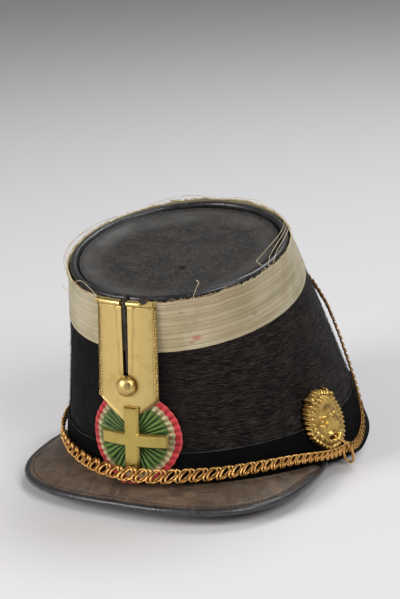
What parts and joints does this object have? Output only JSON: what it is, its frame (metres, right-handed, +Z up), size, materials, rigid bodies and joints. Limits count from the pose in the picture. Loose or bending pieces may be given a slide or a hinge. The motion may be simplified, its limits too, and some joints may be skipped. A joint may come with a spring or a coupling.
{
  "type": "kepi",
  "caption": "Stiff plush kepi with a forward-leaning crown, ribbon band, leather top and peak, brass loop plate, pleated cockade, cross, lion masks and a curb chain.",
  "frame": {"origin": "under the middle of the hat's outer box, on the surface that its lower rim rests on", "axes": "+Z up from the table, -Y to the front where the peak is, +X to the wearer's left"},
  "size_m": [0.18, 0.2249, 0.1386],
  "materials": {
    "plush": "black beaver plush with a brushed nap",
    "velvet": "smooth dark velvet",
    "ribbon": "ivory woven ribbon with tarnished lengthwise stripes",
    "top_leather": "dull black leather with brown wear",
    "rim_leather": "polished blue-black leather",
    "peak_leather": "worn brown-black leather with a stitched line",
    "plate_brass": "brushed yellow brass with milled borders",
    "gilt_brass": "gilt brass, browner in the hollows",
    "cockade_ribbon": "pleated ribbon, green inside, white, then red outside"
  },
  "bodies": {
    "root": {"crown_body": "plush", "head_band": "velvet", "galloon_band": "ribbon", "crown_rim": "rim_leather", "crown_top": "top_leather", "peak": "peak_leather", "peak_edging": "rim_leather", "loop_plate": "plate_brass", "button": "plate_brass", "cockade": "cockade_ribbon", "cross": "plate_brass", "lion_boss_left": "gilt_brass", "lion_boss_right": "gilt_brass", "chain_hook_left": "gilt_brass", "chain_hook_right": "gilt_brass", "chain_hook_back": "gilt_brass", "chain_front": "gilt_brass", "chain_back": "gilt_brass"}
  },
  "joints": []
}
